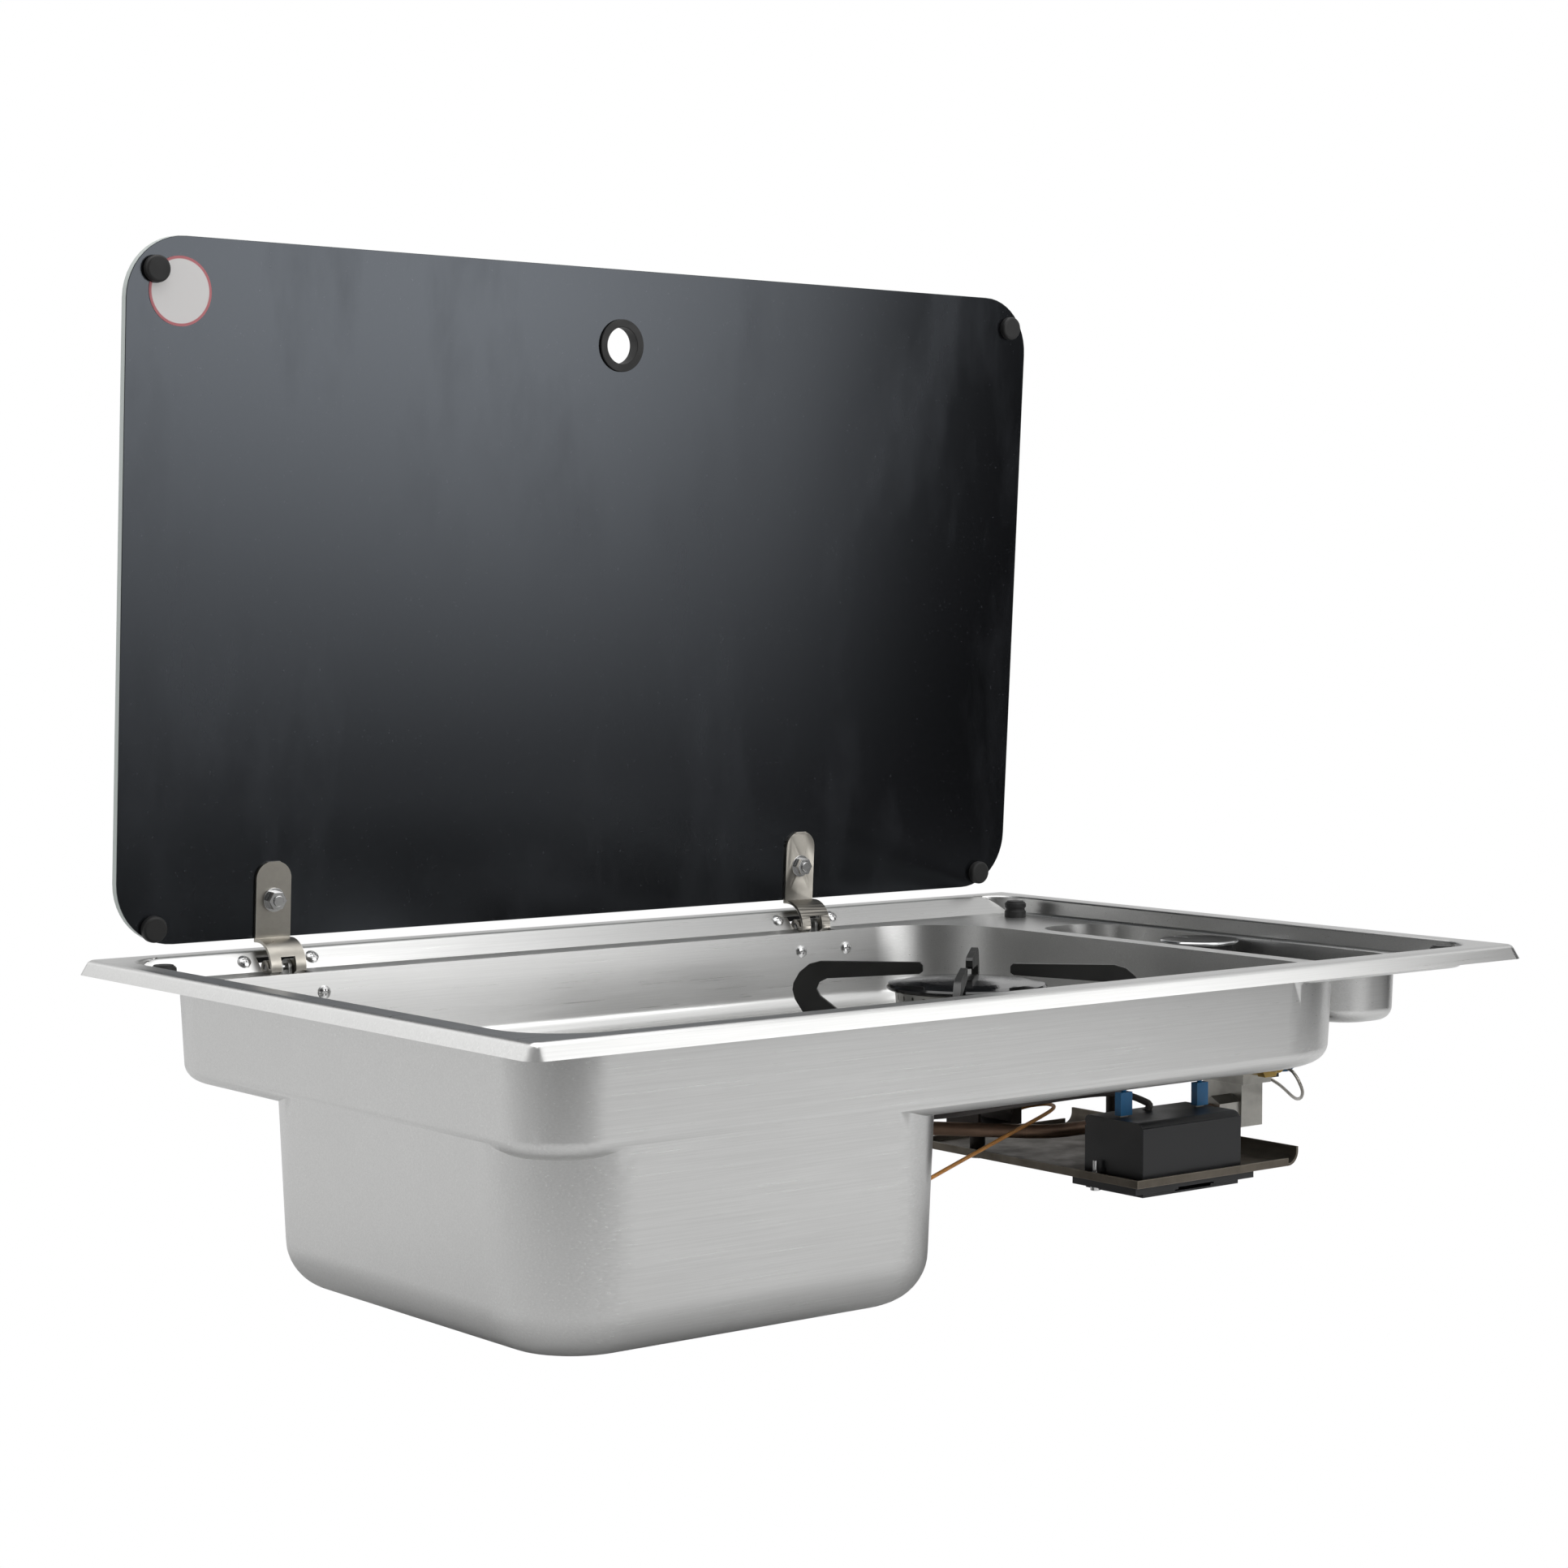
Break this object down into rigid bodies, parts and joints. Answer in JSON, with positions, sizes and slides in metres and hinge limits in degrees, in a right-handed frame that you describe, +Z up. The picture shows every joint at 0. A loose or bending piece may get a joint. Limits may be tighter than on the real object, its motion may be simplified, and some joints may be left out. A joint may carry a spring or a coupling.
{
  "type": "hob and sink combo",
  "caption": "Stainless worktop unit with a deep bowl, a single gas burner with pan support, a control knob and a folding glass lid.",
  "frame": {"origin": "centre of the rim's outline, on the worktop face that the rim rests on", "axes": "+X along the long side towards the knob, +Y towards the hinged side, +Z up"},
  "size_m": [0.68, 0.44, 0.5796],
  "materials": {
    "steel_sheet": "satin brushed stainless steel",
    "steel_strap": "satin stainless strip",
    "steel_screw": "polished stainless",
    "zinc": "zinc plated sheet",
    "glass_dark": "toughened glass, printed black on the back",
    "rubber_black": "matt rubber",
    "label": "blank printed label",
    "nylon": "moulded nylon",
    "cup_alu": "cast aluminium",
    "brass": "machined brass",
    "enamel_black": "gloss black enamel",
    "arm_black": "satin black enamel on steel",
    "ceramic": "glazed ceramic with steel tip",
    "probe_steel": "drawn steel",
    "copper": "tarnished copper tube",
    "knob_black": "satin black moulding",
    "knob_chrome": "spun chrome disc",
    "valve_cast": "die-cast, fine tumbled skin",
    "switch_black": "moulded plastic",
    "plate_steel": "grey-brown coated steel",
    "bracket_dark": "dark coated steel",
    "box_black": "fine-grained black moulding",
    "battery_wrap": "plain battery sleeve",
    "blue_vinyl": "blue vinyl",
    "lead_orange": "orange insulated lead",
    "lead_grey": "silicone ignition lead",
    "waste_black": "moulded polypropylene",
    "waste_white": "moulded polypropylene"
  },
  "bodies": {
    "body": {"tray": "steel_sheet", "rim_seal": "rubber_black", "hinge_bracket_left": "zinc", "hinge_bracket_right": "zinc", "hinge_pins": "steel_screw", "hinge_screws": "steel_screw", "rest_bumpers": "rubber_black", "burner_cup": "cup_alu", "burner_clamp_ring": "zinc", "burner_screws": "steel_screw", "mixing_tube": "cup_alu", "injector_holder": "brass", "supply_pipe": "copper", "spark_electrode": "ceramic", "thermocouple": "probe_steel", "stem_seal": "rubber_black", "valve_screws": "steel_screw", "valve_bracket": "zinc", "valve_body": "valve_cast", "valve_spring": "steel_screw", "safety_magnet": "brass", "switch_block": "switch_black", "gas_pipe": "copper", "base_plate": "plate_steel", "hanger_bracket": "bracket_dark", "plate_posts": "bracket_dark", "plate_screws": "steel_screw", "igniter_box": "box_black", "igniter_base": "box_black", "battery": "battery_wrap", "igniter_bolts": "steel_screw", "igniter_tags": "probe_steel", "blue_boots": "blue_vinyl", "switch_leads": "blue_vinyl", "spark_lead": "lead_grey", "probe_lead": "probe_steel", "earth_lead": "lead_orange", "waste_flange": "steel_screw", "waste_gasket": "rubber_black", "waste_nut": "waste_white", "waste_elbow": "waste_black"},
    "lid": {"hinge_strap_left": "steel_strap", "hinge_strap_right": "steel_strap", "lid_glass": "glass_dark", "lid_ring": "rubber_black", "lid_buffers": "rubber_black", "lid_label": "label", "lid_bolts": "steel_screw", "lid_washers": "steel_screw", "lid_bushes": "nylon", "lid_nuts": "steel_screw"},
    "cap": {"burner_cap": "enamel_black"},
    "head": {"burner_head": "brass"},
    "support": {"pan_support": "arm_black", "support_feet": "rubber_black"},
    "plunger": {"spring_seat": "probe_steel"},
    "dial": {"valve_stem": "probe_steel", "knob": "knob_black", "knob_disc": "knob_chrome"},
    "strainer": {"sink_strainer": "steel_screw"}
  },
  "joints": [
    {"name": "lid_hinge", "type": "hinge", "parent": "body", "child": "lid", "pos_m": [0, 0.1919, -0.0013], "axis": [1, 0, 0], "range_deg": [0, 86.4]},
    {"name": "cap_lift", "type": "slide", "parent": "head", "child": "cap", "axis": [0, 0, 1], "range_m": [0, 0.0034]},
    {"name": "head_lift", "type": "slide", "parent": "body", "child": "head", "axis": [0, 0, 1], "range_m": [0, 0.0034]},
    {"name": "support_lift", "type": "slide", "parent": "body", "child": "support", "axis": [0, 0, 1], "range_m": [0, 0.12]},
    {"name": "knob_push", "type": "slide", "parent": "body", "child": "plunger", "axis": [0, 0, -1], "range_m": [0, 0.004], "stiffness_N_per_m": 800, "springref_m": -0.003, "deforming": ["valve_spring"]},
    {"name": "knob_turn", "type": "hinge", "parent": "plunger", "child": "dial", "pos_m": [0.293, -0.009, 0], "axis": [0, 0, 1], "range_deg": [0, 210]},
    {"name": "strainer_lift", "type": "slide", "parent": "body", "child": "strainer", "axis": [0, 0, 1], "range_m": [0, 0.2]}
  ]
}
